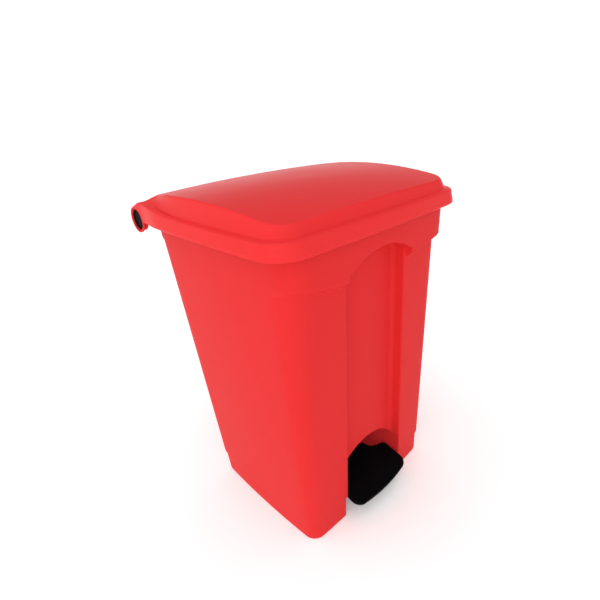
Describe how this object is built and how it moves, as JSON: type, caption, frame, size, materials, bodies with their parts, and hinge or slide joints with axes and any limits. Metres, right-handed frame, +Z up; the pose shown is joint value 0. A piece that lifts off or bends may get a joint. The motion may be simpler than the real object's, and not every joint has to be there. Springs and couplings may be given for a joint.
{
  "type": "step-on waste bin",
  "caption": "Red 45-litre step-on waste bin: tapered moulded container, domed lid on two rear pins, black foot pedal with lever and lift rod.",
  "frame": {"origin": "centre of the bounding box on the floor", "axes": "+X to the right as seen from the front, +Y towards the rear hinge, +Z up; the pedal is at the front, towards -Y"},
  "size_m": [0.41, 0.4, 0.5994],
  "materials": {
    "red_plastic": "moulded, semi-gloss",
    "black_plastic": "fine moulded satin",
    "steel": "zinc plated",
    "rubber": "matte"
  },
  "bodies": {
    "container": {"container": "red_plastic", "hinge_pin_left": "black_plastic", "hinge_pin_right": "black_plastic", "pivot_block_left": "black_plastic", "pivot_block_right": "black_plastic", "pivot_block_screws": "steel", "rod_guide_upper": "black_plastic", "rod_guide_lower": "black_plastic", "rod_guide_screws": "steel", "lid_buffers": "rubber", "floor_pads": "rubber"},
    "lid": {"lid": "red_plastic", "lid_bracket": "steel", "lid_bracket_screws": "steel"},
    "pedal": {"pedal": "black_plastic", "pedal_axle": "steel", "axle_clip_left": "steel", "axle_clip_right": "steel"},
    "rod": {"lift_rod": "steel", "rod_clip_upper": "black_plastic", "rod_clip_lower": "black_plastic"}
  },
  "joints": [
    {"name": "lid_hinge", "type": "hinge", "parent": "container", "child": "lid", "pos_m": [0, 0.1785, 0.5435], "axis": [-1, 0, 0], "range_deg": [0, 70]},
    {"name": "rod_slide", "type": "slide", "parent": "container", "child": "rod", "axis": [0, 0.0906, 0.9959], "range_m": [0, 0.0322]},
    {"name": "pedal_hinge", "type": "hinge", "parent": "container", "child": "pedal", "pos_m": [0, -0.06, 0.054], "axis": [1, 0, 0], "range_deg": [0, 10.75]}
  ],
  "couplings": [
    {"joint": "rod_slide", "follows": "lid_hinge", "m_per_rad": 0.026291},
    {"joint": "pedal_hinge", "follows": "lid_hinge", "ratio": 0.15286}
  ]
}
